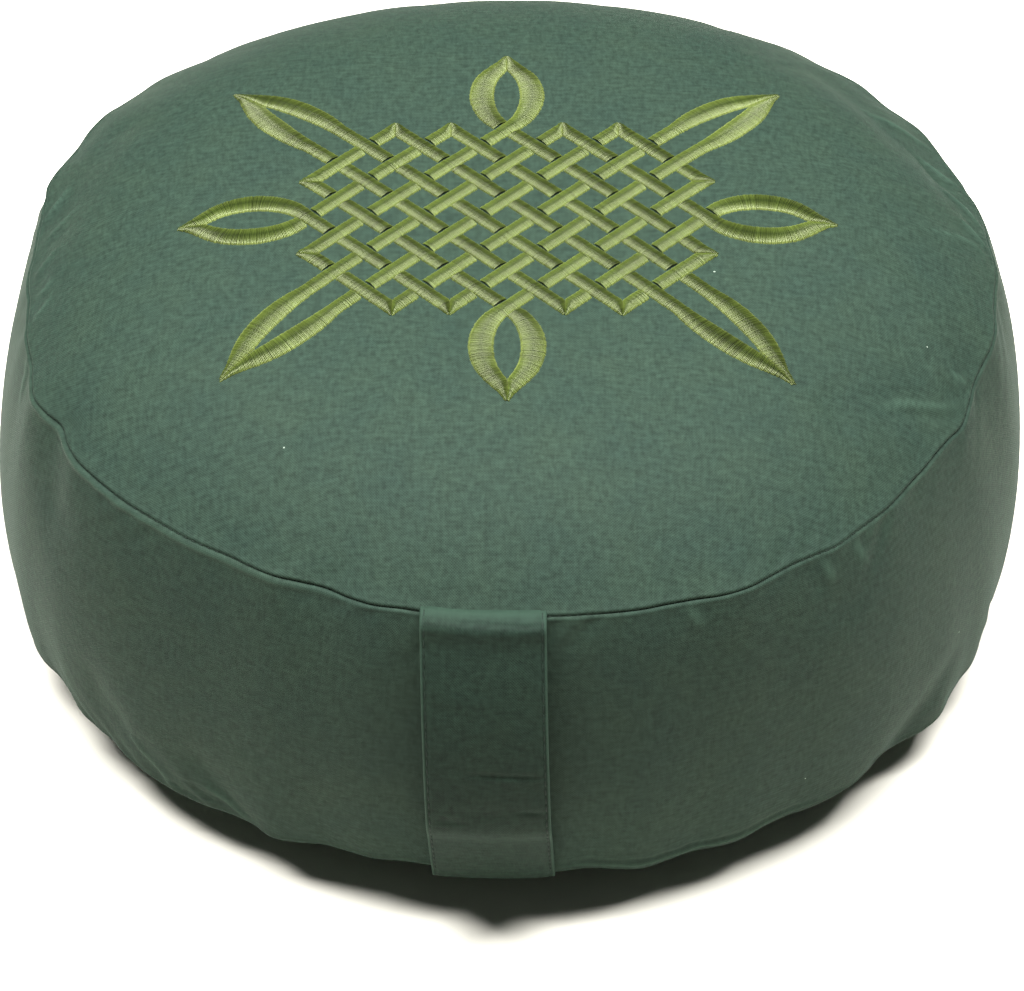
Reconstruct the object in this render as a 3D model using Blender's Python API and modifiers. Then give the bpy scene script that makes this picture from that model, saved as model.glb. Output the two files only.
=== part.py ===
"""Round meditation cushion (a zafu) with a carry strap sewn over its side band.

Metres, +Z up. The origin is on the floor, on the cushion's own axis, and the strap
is at the front, towards -Y. Angles round the cushion are in degrees from the front
and grow towards +X. A tight cotton cover makes the cushion: a round top panel, a
side band and a round bottom panel, filled firmly and closed all round, so it is one
solid. The strap is one folded strip whose ends are caught in the two seams.
"""
import math

import bmesh
import bpy
from mathutils import Vector

MM = 0.001

# Driving sizes of the cushion
TOP_SEAM_RADIUS = 160 * MM
LOWER_SEAM_RADIUS = 166 * MM
TOP_SEAM_HEIGHT = 124 * MM
LOWER_SEAM_HEIGHT = 17 * MM
CROWN = 34 * MM            # how far the top panel stands up over its seam
CROWN_POWER = 4.6          # a flat middle and a round shoulder
BELLY = 8 * MM             # how far the side band stands out between its seams
BELLY_POWER = 0.8
FLAT_RADIUS = 120 * MM     # the part of the bottom that the floor presses flat
SEAM_DEPTH = 1.3 * MM      # the groove that each seam draws in
SEAM_LIP = 2.5 * MM        # from the groove's bottom to its edge, along the cloth

# Steps of the cushion's mesh
TURN_STEPS = 120
CROWN_RINGS = 12
SIDE_RINGS = 14
UNDER_RINGS = 6
CROWN_EASE = 0.6           # share of the crown's rings that crowd towards the seam
SWELL_POWER = 3.5          # how quickly the crown's swells flatten towards its middle
MERGE_DISTANCE = 0.01 * MM
ON_FLOOR = 0.1 * MM        # a point lower than this is in the flat bottom

# Driving sizes of the carry strap
STRAP_WIDTH = 39.5 * MM
STRAP_THICKNESS = 2 * MM
STRAP_ACROSS = 6           # faces across the strap
STRAP_STEPS = 4            # steps between two stations of its run
STRAP_TOP_ANGLE = -2.7     # the strap leans a little: its lower end sits further right
STRAP_LOW_ANGLE = -1.5

# The filling pushes the cover out of round. Each row is one swell or hollow of a
# seam: the angle of its middle, its half width in degrees, and how far it moves the
# seam out and up.
TOP_SWELLS = (
    # angle, half width, out, up
    (30, 30, 4.2 * MM, 0.0 * MM),
    (61, 27, -1.5 * MM, -3.8 * MM),
    (90, 30, 0.0 * MM, 5.2 * MM),
    (122, 26, 1.5 * MM, 0.0 * MM),
    (182, 46, -2.8 * MM, -3.8 * MM),
    (240, 26, 2.8 * MM, 1.0 * MM),
    (270, 27, -3.4 * MM, 0.5 * MM),
    (300, 28, 2.6 * MM, 1.8 * MM),
    (332, 25, -1.5 * MM, 0.5 * MM),
)
LOWER_SWELLS = (
    (24, 24, 0.5 * MM, -1.0 * MM),
    (57, 26, 1.8 * MM, -1.0 * MM),
    (205, 40, 1.5 * MM, 0.0 * MM),
    (285, 26, 0.5 * MM, 1.0 * MM),
    (318, 20, 0.8 * MM, -0.8 * MM),
    (346, 20, -0.8 * MM, 1.6 * MM),
)

# Puckers along the seams, where the band is eased into the round panels: so many
# waves in a turn, where the first one starts, and how high each stands.
TOP_PUCKERS = (
    # waves, start in degrees, height
    (19, 20, 0.35 * MM),
    (27, 75, 0.45 * MM),
    (34, 140, 0.35 * MM),
)
LOWER_PUCKERS = (
    (17, 55, 0.60 * MM),
    (26, 10, 0.70 * MM),
    (35, 95, 0.45 * MM),
)
CROWN_REACH = 15 * MM      # how far from a seam its puckers die away
SIDE_REACH = 24 * MM
UNDER_REACH = 12 * MM
CROWN_SHARE = 0.7          # the round panels pucker less than the band
STRAP_CALM = 12            # degrees either side of the strap where the band lies smooth

# Long soft waves that run down the side band
BAND_WAVES = (
    (7, 30, 0.7 * MM),
    (11, 200, 0.5 * MM),
)

# Main folds. Each row is a straight trough (or, with a negative depth, a ridge) from
# one point of the cover to another.
FOLDS = (
    # angle, radius, height at one end and at the other, then width and depth
    ((52, 133 * MM, 143 * MM), (66, 157 * MM, 127 * MM), 7 * MM, 1.6 * MM),
    ((76, 140 * MM, 140 * MM), (67, 157 * MM, 127 * MM), 8 * MM, -1.0 * MM),
    ((101, 157 * MM, 128 * MM), (132, 147 * MM, 137 * MM), 7 * MM, 1.5 * MM),
    ((108, 151 * MM, 134 * MM), (140, 140 * MM, 142 * MM), 7 * MM, 1.2 * MM),
    ((260, 156 * MM, 128 * MM), (243, 143 * MM, 140 * MM), 6 * MM, 1.1 * MM),
    ((268, 157 * MM, 127 * MM), (257, 148 * MM, 136 * MM), 6 * MM, 0.9 * MM),
    ((297, 162 * MM, 121 * MM), (301, 168 * MM, 100 * MM), 9 * MM, 1.6 * MM),
    ((316, 168 * MM, 24 * MM), (309, 171 * MM, 44 * MM), 8 * MM, 1.6 * MM),
    ((329, 167 * MM, 20 * MM), (324, 171 * MM, 38 * MM), 7 * MM, 1.4 * MM),
    ((47, 167 * MM, 20 * MM), (56, 171 * MM, 38 * MM), 8 * MM, 1.5 * MM),
    ((36, 161 * MM, 121 * MM), (38, 168 * MM, 103 * MM), 8 * MM, 1.2 * MM),
    ((205, 162 * MM, 121 * MM), (209, 170 * MM, 95 * MM), 9 * MM, 1.3 * MM),
    ((158, 167 * MM, 20 * MM), (151, 171 * MM, 42 * MM), 8 * MM, 1.4 * MM),
)

# The strap's run in section, along the middle of its thickness: out along the seam,
# sharply down over a pressed crease, down clear of the belly, round the fold and
# back in to the lower seam.
STRAP_RUN = (
    # distance from the axis, height
    (161.0 * MM, 123.8 * MM),
    (164.6 * MM, 123.6 * MM),
    (167.0 * MM, 120.8 * MM),
    (172.4 * MM, 108.0 * MM),
    (177.4 * MM, 92.0 * MM),
    (180.6 * MM, 76.0 * MM),
    (182.0 * MM, 61.0 * MM),
    (181.4 * MM, 50.5 * MM),
    (178.6 * MM, 45.0 * MM),
    (175.0 * MM, 35.0 * MM),
    (171.4 * MM, 26.0 * MM),
    (168.2 * MM, 18.4 * MM),
)

COLLECTION = "meditation_cushion"
CUSHION_COLOUR = (0.060, 0.105, 0.078, 1.0)
STRAP_COLOUR = (0.042, 0.068, 0.050, 1.0)
COTTON_ROUGHNESS = 0.92


def clear_scene():
    for item in list(bpy.data.objects):
        bpy.data.objects.remove(item, do_unlink=True)


def cotton(name, colour):
    """Dyed cotton cloth: dull, and not metallic."""
    material = bpy.data.materials.new(name)
    material.use_nodes = True
    shader = material.node_tree.nodes["Principled BSDF"]
    shader.inputs["Base Color"].default_value = colour
    shader.inputs["Roughness"].default_value = COTTON_ROUGHNESS
    shader.inputs["Metallic"].default_value = 0.0
    material.diffuse_color = colour
    return material


def turn_between(angle, middle):
    """Signed angle in degrees from middle to angle, the short way round."""
    return (angle - middle + 180.0) % 360.0 - 180.0


def bell(offset, half_width):
    """1 in the middle, falling smoothly to 0 at the half width."""
    if abs(offset) >= half_width:
        return 0.0
    return math.cos(math.pi / 2.0 * offset / half_width) ** 2


# --- the cushion ---------------------------------------------------------------

def crown_point(radius):
    rise = CROWN * (1.0 - (radius / TOP_SEAM_RADIUS) ** CROWN_POWER)
    return radius, TOP_SEAM_HEIGHT + rise


def side_point(share):
    """Point of the side band: share 0 is the top seam and 1 is the lower seam."""
    radius = TOP_SEAM_RADIUS + (LOWER_SEAM_RADIUS - TOP_SEAM_RADIUS) * share
    radius += BELLY * (4.0 * share * (1.0 - share)) ** BELLY_POWER
    height = TOP_SEAM_HEIGHT + (LOWER_SEAM_HEIGHT - TOP_SEAM_HEIGHT) * share
    return radius, height


def under_point(share):
    """Point of the round arc below: share 0 is the lower seam and 1 is the floor."""
    whole_turn = 2.0 * math.atan2(LOWER_SEAM_HEIGHT, LOWER_SEAM_RADIUS - FLAT_RADIUS)
    arc_radius = LOWER_SEAM_HEIGHT / (1.0 - math.cos(whole_turn))
    turn = whole_turn * (1.0 - share)
    return FLAT_RADIUS + arc_radius * math.sin(turn), arc_radius * (1.0 - math.cos(turn))


def cushion_section():
    """The ideal section, from the middle of the top down to the middle of the floor."""
    points = [(0.0, TOP_SEAM_HEIGHT + CROWN)]
    inner = TOP_SEAM_RADIUS - SEAM_LIP
    for ring in range(1, CROWN_RINGS + 1):
        even = ring / CROWN_RINGS
        crowded = math.sin(even * math.pi / 2.0)
        points.append(crown_point(inner * (even + (crowded - even) * CROWN_EASE)))
    points.append(crown_point(TOP_SEAM_RADIUS))
    lip_share = SEAM_LIP / (TOP_SEAM_HEIGHT - LOWER_SEAM_HEIGHT)
    for ring in range(SIDE_RINGS + 1):
        eased = (1.0 - math.cos(math.pi * ring / SIDE_RINGS)) / 2.0
        points.append(side_point(lip_share + (1.0 - 2.0 * lip_share) * eased))
    points.append(side_point(1.0))
    lip_turn = SEAM_LIP / (LOWER_SEAM_RADIUS - FLAT_RADIUS)
    for ring in range(UNDER_RINGS + 1):
        points.append(under_point(lip_turn + (1.0 - lip_turn) * ring / UNDER_RINGS))
    points.append((0.0, 0.0))
    return points


def seam_distance(radius, height, seam_radius, seam_height):
    return math.hypot(radius - seam_radius, height - seam_height)


def swell_at(angle, rows):
    """How far a seam lies out and up at an angle."""
    out = 0.0
    up = 0.0
    for middle, half_width, row_out, row_up in rows:
        share = bell(turn_between(angle, middle), half_width)
        out += row_out * share
        up += row_up * share
    return out, up


def waves_at(angle, rows):
    """Sum of a table of waves at an angle."""
    return sum(height * math.sin(math.radians(count * (angle - start)))
               for count, start, height in rows)


def pucker(angle, radius, height):
    """Height of the puckers at a point of the ideal surface."""
    calm = 1.0 - bell(turn_between(angle, STRAP_TOP_ANGLE), STRAP_CALM)
    to_top = seam_distance(radius, height, TOP_SEAM_RADIUS, TOP_SEAM_HEIGHT)
    to_lower = seam_distance(radius, height, LOWER_SEAM_RADIUS, LOWER_SEAM_HEIGHT)
    if height > TOP_SEAM_HEIGHT:
        return CROWN_SHARE * waves_at(angle, TOP_PUCKERS) * math.exp(-to_top / CROWN_REACH)
    if height < LOWER_SEAM_HEIGHT:
        fade = math.exp(-to_lower / UNDER_REACH) * height / LOWER_SEAM_HEIGHT
        return calm * waves_at(angle, LOWER_PUCKERS) * fade
    rise = waves_at(angle, TOP_PUCKERS) * math.exp(-to_top / SIDE_REACH)
    rise += waves_at(angle, LOWER_PUCKERS) * math.exp(-to_lower / SIDE_REACH)
    share = (TOP_SEAM_HEIGHT - height) / (TOP_SEAM_HEIGHT - LOWER_SEAM_HEIGHT)
    rise += waves_at(angle, BAND_WAVES) * math.sin(math.pi * share)
    return calm * rise


def groove(radius, height):
    """Depth of the groove that the nearer seam draws in."""
    nearest = min(seam_distance(radius, height, TOP_SEAM_RADIUS, TOP_SEAM_HEIGHT),
                  seam_distance(radius, height, LOWER_SEAM_RADIUS, LOWER_SEAM_HEIGHT))
    return SEAM_DEPTH * max(0.0, 1.0 - nearest / SEAM_LIP)


def cylinder_point(angle, radius, height):
    turn = math.radians(angle)
    return Vector((radius * math.sin(turn), -radius * math.cos(turn), height))


def fold_depth(point):
    """Depth of the main folds at a point of the ideal surface."""
    depth = 0.0
    for first, last, width, row_depth in FOLDS:
        start = cylinder_point(*first)
        run = cylinder_point(*last) - start
        along = (point - start).dot(run) / run.length_squared
        nearest = start + run * min(1.0, max(0.0, along))
        depth += row_depth * math.exp(-((point - nearest).length / width) ** 2)
    return depth


def seam_shares(radius, height):
    """How far a point follows the top seam and the lower seam."""
    if height >= TOP_SEAM_HEIGHT:
        return (radius / TOP_SEAM_RADIUS) ** SWELL_POWER, 0.0
    if height <= LOWER_SEAM_HEIGHT:
        return 0.0, height / LOWER_SEAM_HEIGHT
    top = (height - LOWER_SEAM_HEIGHT) / (TOP_SEAM_HEIGHT - LOWER_SEAM_HEIGHT)
    return top, 1.0 - top


def swell(angle, radius, height):
    """Move of a point that follows the swells of both seams."""
    outward = cylinder_point(angle, 1.0, 0.0)
    move = Vector()
    for share, rows in zip(seam_shares(radius, height), (TOP_SWELLS, LOWER_SWELLS)):
        out, up = swell_at(angle, rows)
        move += share * (outward * out + Vector((0.0, 0.0, up)))
    return move


def make_cushion(collection):
    bm = bmesh.new()
    profile = [bm.verts.new((radius, 0.0, height)) for radius, height in cushion_section()]
    edges = [bm.edges.new(pair) for pair in zip(profile, profile[1:])]
    bmesh.ops.spin(bm, geom=profile + edges, cent=(0, 0, 0), axis=(0, 0, 1),
                   angle=2.0 * math.pi, steps=TURN_STEPS, use_merge=True)
    bmesh.ops.remove_doubles(bm, verts=bm.verts, dist=MERGE_DISTANCE)
    bmesh.ops.recalc_face_normals(bm, faces=bm.faces)
    bm.normal_update()
    moves = []
    for vert in bm.verts:
        radius = math.hypot(vert.co.x, vert.co.y)
        height = vert.co.z
        if height < ON_FLOOR:
            moves.append(Vector())
            continue
        angle = math.degrees(math.atan2(vert.co.x, -vert.co.y))
        lift = pucker(angle, radius, height) - groove(radius, height) - fold_depth(vert.co)
        moves.append(vert.normal * lift + swell(angle, radius, height))
    for vert, move in zip(bm.verts, moves):
        vert.co += move
    mesh = bpy.data.meshes.new("cushion")
    bm.to_mesh(mesh)
    bm.free()
    mesh.shade_smooth()
    cushion = bpy.data.objects.new("cushion", mesh)
    cushion.data.materials.append(cotton("cover_cotton", CUSHION_COLOUR))
    collection.objects.link(cushion)
    return cushion


# --- the carry strap -----------------------------------------------------------

def smooth_between(rows, index, share):
    """Point of a smooth curve through the rows, between row index and the next."""
    before = rows[max(index - 1, 0)]
    start = rows[index]
    end = rows[index + 1]
    after = rows[min(index + 2, len(rows) - 1)]
    point = []
    for p0, p1, p2, p3 in zip(before, start, end, after):
        straight = (p2 - p0) * share
        curved = (2.0 * p0 - 5.0 * p1 + 4.0 * p2 - p3) * share ** 2
        twisted = (3.0 * p1 - p0 - 3.0 * p2 + p3) * share ** 3
        point.append(p1 + (straight + curved + twisted) / 2.0)
    return tuple(point)


def strap_section():
    """The strap's run as evenly stepped points on a smooth curve."""
    points = []
    for index in range(len(STRAP_RUN) - 1):
        for step in range(STRAP_STEPS):
            points.append(smooth_between(STRAP_RUN, index, step / STRAP_STEPS))
    points.append(STRAP_RUN[-1])
    return points


def strap_angle(height):
    share = (TOP_SEAM_HEIGHT - height) / (TOP_SEAM_HEIGHT - LOWER_SEAM_HEIGHT)
    return STRAP_TOP_ANGLE + (STRAP_LOW_ANGLE - STRAP_TOP_ANGLE) * share


def make_strap(collection):
    """A flat grid bent along the strap's run, and round the cushion as the seams are."""
    stations = strap_section()
    steps = len(stations) - 1
    bm = bmesh.new()
    bmesh.ops.create_grid(bm, x_segments=STRAP_ACROSS, y_segments=steps, size=1.0)
    for vert in bm.verts:
        distance, height = stations[round((vert.co.y + 1.0) / 2.0 * steps)]
        across = vert.co.x * STRAP_WIDTH / 2.0
        angle = strap_angle(height) + math.degrees(across / distance)
        vert.co = cylinder_point(angle, distance, height)
    mesh = bpy.data.meshes.new("strap")
    bm.to_mesh(mesh)
    bm.free()
    mesh.shade_smooth()
    strap = bpy.data.objects.new("strap", mesh)
    strap.data.materials.append(cotton("strap_cotton", STRAP_COLOUR))
    collection.objects.link(strap)
    wall = strap.modifiers.new("thickness", "SOLIDIFY")
    wall.thickness = STRAP_THICKNESS
    wall.offset = 0.0
    wall.use_even_offset = True
    return strap


def main():
    clear_scene()
    collection = bpy.data.collections.new(COLLECTION)
    bpy.context.scene.collection.children.link(collection)
    make_cushion(collection)
    make_strap(collection)


main()
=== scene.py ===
# %% [markdown]
# # A round meditation cushion
# A zafu is a round, hard-filled floor cushion. Its cover is three pieces of cotton: a
# round top panel, a long side band and a round bottom panel. A flat strap is caught in
# both seams at the front, and an interlaced ribbon figure is embroidered on the top.
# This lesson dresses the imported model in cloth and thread. Everything is in metres, the
# cushion rests on z = 0 and the strap faces -Y.

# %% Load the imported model
import math
import random

import bmesh
import bpy
import numpy as np
from mathutils import Matrix, Vector
from mathutils.bvhtree import BVHTree
from mathutils.noise import noise


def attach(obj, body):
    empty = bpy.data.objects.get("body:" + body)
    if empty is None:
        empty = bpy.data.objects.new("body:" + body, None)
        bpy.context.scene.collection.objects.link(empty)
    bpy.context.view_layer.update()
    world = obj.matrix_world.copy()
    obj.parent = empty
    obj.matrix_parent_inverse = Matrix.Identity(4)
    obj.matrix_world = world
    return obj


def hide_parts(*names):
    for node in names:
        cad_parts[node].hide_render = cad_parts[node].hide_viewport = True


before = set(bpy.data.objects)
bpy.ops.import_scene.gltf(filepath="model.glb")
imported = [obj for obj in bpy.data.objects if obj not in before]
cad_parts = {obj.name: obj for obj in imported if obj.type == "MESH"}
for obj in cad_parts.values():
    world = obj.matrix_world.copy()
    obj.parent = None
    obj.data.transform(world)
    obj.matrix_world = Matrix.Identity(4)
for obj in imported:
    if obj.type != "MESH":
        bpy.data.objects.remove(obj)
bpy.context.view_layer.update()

MM = 0.001
SCENE = bpy.context.scene

# %% [markdown]
# ## The camera
# The photograph looks down at the cushion from two metres away through a long lens, so
# the far edge is hardly smaller than the near one. The camera could be placed by eye,
# but here it follows from an angle and a distance: back along a line that rises 40.7
# degrees from the cushion's middle, then aimed a little to the right of and below it.

# %% Place the camera
LOOK_DOWN = math.radians(40.7)
CAMERA_DISTANCE = 2.0
MIDDLE = Vector((0.0, 0.0, 70.5 * MM))
AIM_RIGHT = 1.6 * MM
AIM_DOWN = 29.0 * MM
LENS = 209.95               # millimetres, on a sensor 36 mm wide

backwards = Vector((0.0, -math.cos(LOOK_DOWN), math.sin(LOOK_DOWN)))
upwards = Vector((0.0, math.sin(LOOK_DOWN), math.cos(LOOK_DOWN)))
aim = MIDDLE + Vector((AIM_RIGHT, 0.0, 0.0)) - upwards * AIM_DOWN
camera = bpy.data.objects.new("camera", bpy.data.cameras.new("camera"))
camera.location = MIDDLE + backwards * CAMERA_DISTANCE
camera.rotation_euler = (aim - camera.location).to_track_quat("-Z", "Y").to_euler()
camera.data.lens = LENS
camera.data.sensor_width = 36.0
camera.data.clip_start = 0.05
camera.data.clip_end = 50.0
SCENE.collection.objects.link(camera)
SCENE.camera = camera
print("camera at", [round(value, 3) for value in camera.location])

# %% [markdown]
# ## Helpers for materials
# Every finish below is a small tree of nodes. A few helpers keep those trees readable:
# they add a node and fill its inputs by name, join two sockets, or do a bit of sums.

# %% Helpers for materials
def fill(node, inputs):
    """Sets a node's inputs by name."""
    for name, value in inputs.items():
        node.inputs[name].default_value = value


def new_material(name, inputs):
    """A material, its node tree and its shader, with the shader's inputs filled."""
    made = bpy.data.materials.new(name)
    made.use_nodes = True
    shader = made.node_tree.nodes["Principled BSDF"]
    fill(shader, inputs)
    return made, made.node_tree, shader


def add(tree, kind, inputs=None, **settings):
    """A new node, with its inputs and its settings."""
    made = tree.nodes.new(kind)
    for name, value in settings.items():
        setattr(made, name, value)
    fill(made, inputs or {})
    return made


def join(tree, source, socket, target, name):
    """Joins an output of one node to an input of another."""
    tree.links.new(source.outputs[socket], target.inputs[name])


def feed(tree, socket, operand):
    """Gives a socket a number, a colour or, from a (node, socket) pair, another's output."""
    if isinstance(operand, tuple) and not isinstance(operand[0], float):
        tree.links.new(operand[0].outputs[operand[1]], socket)
    else:
        socket.default_value = operand


def calculate(tree, operation, first, second=None):
    """A Math node."""
    made = add(tree, "ShaderNodeMath", operation=operation)
    feed(tree, made.inputs[0], first)
    if second is not None:
        feed(tree, made.inputs[1], second)
    return made


def ramp(tree, source, socket, stops):
    """A colour ramp over a value, from (place, colour) stops."""
    made = add(tree, "ShaderNodeValToRGB")
    join(tree, source, socket, made, "Fac")
    elements = made.color_ramp.elements
    while len(elements) < len(stops):
        elements.new(0.5)
    for element, (place, colour) in zip(elements, stops):
        element.position = place
        element.color = (*colour, 1.0)
    return made


def mix(tree, kind, factor, first, second):
    """A Mix node for colours."""
    made = add(tree, "ShaderNodeMix", data_type="RGBA", blend_type=kind)
    for index, operand in ((0, factor), (6, first), (7, second)):
        feed(tree, made.inputs[index], operand)
    return made


# %% [markdown]
# ## Floor and light
# The cushion lies on plain pale paper that the light burns out to white, as in a
# packshot. One soft box hangs overhead. It is long from left to right, so the shadow on
# the paper thins out at both sides, and narrow from front to back, so the shadow under
# the front of the belly keeps an edge. The band gets little of it and stays darker than
# the top. A dim world keeps the deepest shadow from going black.

# %% Floor and light
FLOOR_HALF_WIDTH = 6.0
PAPER_TINTS = ((0.3, (0.79, 0.765, 0.68)), (0.7, (0.81, 0.785, 0.70)))
LIGHT_PLACE = (-0.05, -0.05, 1.6)
LIGHT_SIZE = (2.4, 0.28)          # left to right, and front to back
LIGHT_POWER = 162.0
WORLD_STRENGTH = 0.04


def finished(name, shape):
    """A smooth object from a bmesh, linked into the scene."""
    for face in shape.faces:
        face.smooth = True
    mesh = bpy.data.meshes.new(name)
    shape.to_mesh(mesh)
    shape.free()
    made = bpy.data.objects.new(name, mesh)
    SCENE.collection.objects.link(made)
    return made


def make_floor():
    shape = bmesh.new()
    bmesh.ops.create_grid(shape, x_segments=8, y_segments=8, size=FLOOR_HALF_WIDTH)
    made = finished("floor", shape)
    material, tree, shader = new_material("floor_paper", {"Roughness": 0.9})
    place = add(tree, "ShaderNodeTexCoord")
    cloud = add(tree, "ShaderNodeTexNoise", {"Scale": 1.5, "Detail": 2.0})
    join(tree, place, "Object", cloud, "Vector")
    join(tree, ramp(tree, cloud, "Fac", PAPER_TINTS), "Color", shader, "Base Color")
    made.data.materials.append(material)


def hang_light():
    """A soft box over the cushion. A light that isn't turned shines straight down."""
    lamp = bpy.data.lights.new("overhead", "AREA")
    lamp.shape = "RECTANGLE"
    lamp.size, lamp.size_y = LIGHT_SIZE
    lamp.energy = LIGHT_POWER
    made = bpy.data.objects.new("overhead", lamp)
    made.location = LIGHT_PLACE
    SCENE.collection.objects.link(made)


make_floor()
hang_light()
world = bpy.data.worlds.new("studio")
world.use_nodes = True
white = (1.0, 1.0, 1.0, 1.0)
fill(world.node_tree.nodes["Background"], {"Color": white, "Strength": WORLD_STRENGTH})
SCENE.world = world
SCENE.view_settings.view_transform = "Standard"

# %% [markdown]
# ## Reading the shape of the cover
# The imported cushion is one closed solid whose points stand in 120 columns round the
# axis. A column runs from the middle of the top over both seams to the middle of the
# bottom. The finer cover could be a subdivided copy of that solid, but then the seams
# would go soft. So the columns are read back, each is split where it bends inwards,
# which is at its seams, and a new sheet is laid over them, panel by panel. The solid's
# seam grooves are wide, so the panels on both sides are first drawn on to the corner
# where they would meet, and a groove as narrow as a real one is pressed in later.

# %% Read the cushion's columns
COLUMNS = 120
SECTION_MIDDLE = (80 * MM, 70 * MM)
SEAM_HEIGHTS = ((100 * MM, 145 * MM), (5 * MM, 40 * MM))


def read_columns(node):
    """Radius and height of the cushion's points, from the top to the bottom of each column."""
    shape = bmesh.new()
    shape.from_mesh(node.data)
    bmesh.ops.remove_doubles(shape, verts=shape.verts, dist=1e-5)
    top = max(vert.co.z for vert in shape.verts)
    bottom = min(vert.co.z for vert in shape.verts)
    columns = [[] for _ in range(COLUMNS)]
    for vert in shape.verts:
        radius = math.hypot(vert.co.x, vert.co.y)
        if radius > MM:
            turn = math.atan2(vert.co.x, -vert.co.y) / math.tau * COLUMNS
            columns[round(turn) % COLUMNS].append((radius, vert.co.z))
    shape.free()
    middle_r, middle_z = SECTION_MIDDLE
    for column in columns:
        column.sort(key=lambda point: -math.atan2(point[1] - middle_z, point[0] - middle_r))
    return [np.array([(0.0, top), *column, (0.0, bottom)]) for column in columns]


def hollow(column, heights):
    """Index of the point between two heights where a column bends inwards most."""
    steps = np.diff(column, axis=0)
    steps /= np.linalg.norm(steps, axis=1, keepdims=True)
    bends = steps[:-1, 0] * steps[1:, 1] - steps[:-1, 1] * steps[1:, 0]
    level = column[1:-1, 1]
    bends[(level < heights[0]) | (level > heights[1])] = -1.0
    return int(np.argmax(bends)) + 1


def crossing(first, second, third, fourth):
    """Where the line through the first two points meets the line through the others."""
    ahead, other, apart = second - first, fourth - third, third - first
    turning = ahead[0] * other[1] - ahead[1] * other[0]
    return first + ahead * (apart[0] * other[1] - apart[1] * other[0]) / turning


def split_at_seams(column):
    """The stretches of a column on the top panel, on the band and on the bottom panel."""
    upper, lower = (hollow(column, heights) for heights in SEAM_HEIGHTS)
    top_corner = crossing(*column[[upper - 2, upper - 1, upper + 3, upper + 2]])
    low_corner = crossing(*column[[lower - 3, lower - 2, lower + 2, lower + 1]])
    return (
        np.vstack((column[:upper], top_corner)),
        np.vstack((top_corner, column[upper + 2:lower - 1], low_corner)),
        np.vstack((low_corner, column[lower + 1:])),
    )


stretches = [split_at_seams(column) for column in read_columns(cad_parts["cushion"])]
print("top seam radius, mm", np.mean([top[-1, 0] for top, *_ in stretches]) / MM)

# %% [markdown]
# Between the columns the cover follows a smooth closed curve, and along each column one
# smooth curve for each panel, so that the panels meet at an angle at their seams. Rows
# lie close together beside the seams, where the cloth turns sharply, and far apart in
# the middle of a panel.

# %% Curves through the columns
def walked_along(line):
    """How far along a line each of its points is."""
    return np.concatenate(([0.0], np.cumsum(np.linalg.norm(np.diff(line, axis=0), axis=1))))


def along_a_stretch(values, shares):
    """A smooth curve through a stretch, read at shares of its length."""
    knots = walked_along(values)
    knots /= knots[-1]
    steps = np.diff(knots)
    slopes = np.diff(values, axis=0) / steps[:, None]
    weights = (steps[1:] / (steps[1:] + steps[:-1]))[:, None]
    inner = weights * slopes[:-1] + (1 - weights) * slopes[1:]
    tangents = np.concatenate((slopes[:1], inner, slopes[-1:]))
    index = np.clip(np.searchsorted(knots, shares, side="right") - 1, 0, len(steps) - 1)
    width = steps[index][:, None]
    t = (shares[:, None] - knots[index][:, None]) / width
    return (
        (1 + 2 * t) * (1 - t) ** 2 * values[index]
        + t * (1 - t) ** 2 * tangents[index] * width
        + t * t * (3 - 2 * t) * values[index + 1]
        + t * t * (t - 1) * tangents[index + 1] * width
    )


def round_the_axis(values, count):
    """Values at some columns, read at count columns on a smooth closed curve."""
    given = values.shape[1]
    place = np.arange(count) * given / count
    left = np.floor(place).astype(int)
    t = (place - left)[None, :, None]
    before, start, end, after = (values[:, (left + step) % given] for step in (-1, 0, 1, 2))
    bend = 2 * before - 5 * start + 4 * end - after
    twist = 3 * (start - end) + after - before
    return start + 0.5 * t * (end - before + t * (bend + t * twist))


def rows_from_seam(length, finest, coarsest, growth):
    """Places from a seam to the far end, close at first and then further apart."""
    rows = [0.0]
    step = finest
    while rows[-1] + step < length:
        rows.append(rows[-1] + step)
        step = min(step * growth, coarsest)
    return np.array(rows) * length / rows[-1]


def mean_length(panel):
    """How long a panel's stretches are from end to end, on average."""
    return float(np.mean([walked_along(parts[panel])[-1] for parts in stretches]))


PANEL_LENGTHS = [mean_length(panel) for panel in range(3)]
TOP_LENGTH, BAND_LENGTH, UNDER_LENGTH = PANEL_LENGTHS
SEAM_PLACES = (TOP_LENGTH, TOP_LENGTH + BAND_LENGTH)
UNDER_STEPS = (7 * MM, 1.2)       # the bottom panel is plain, so its rows grow fast
print("panels from end to end, mm", [round(length / MM) for length in PANEL_LENGTHS])


def lay_out(count, finest, coarsest, growth):
    """The cover's points in rows and columns, and how far along the cloth each row is."""
    half_band = rows_from_seam(BAND_LENGTH / 2, finest, coarsest, growth)
    panel_rows = (
        TOP_LENGTH - rows_from_seam(TOP_LENGTH, finest, coarsest, growth)[::-1],
        np.concatenate((half_band, BAND_LENGTH - half_band[-2::-1]))[1:],
        rows_from_seam(UNDER_LENGTH, finest, *UNDER_STEPS)[1:],
    )
    points, places = [], []
    for panel, rows in enumerate(panel_rows):
        shares = rows / PANEL_LENGTHS[panel]
        at_columns = [along_a_stretch(parts[panel], shares) for parts in stretches]
        points.append(np.stack(at_columns, axis=1))
        places.append(rows + (0.0, *SEAM_PLACES)[panel])
    profile = round_the_axis(np.concatenate(points), count)
    turn = np.arange(count) * math.tau / count
    radius = profile[:, :, 0]
    height = np.maximum(profile[:, :, 1], 0.0)
    solid = np.stack((radius * np.sin(turn), -radius * np.cos(turn), height), axis=2)
    return solid, np.concatenate(places)


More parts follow.
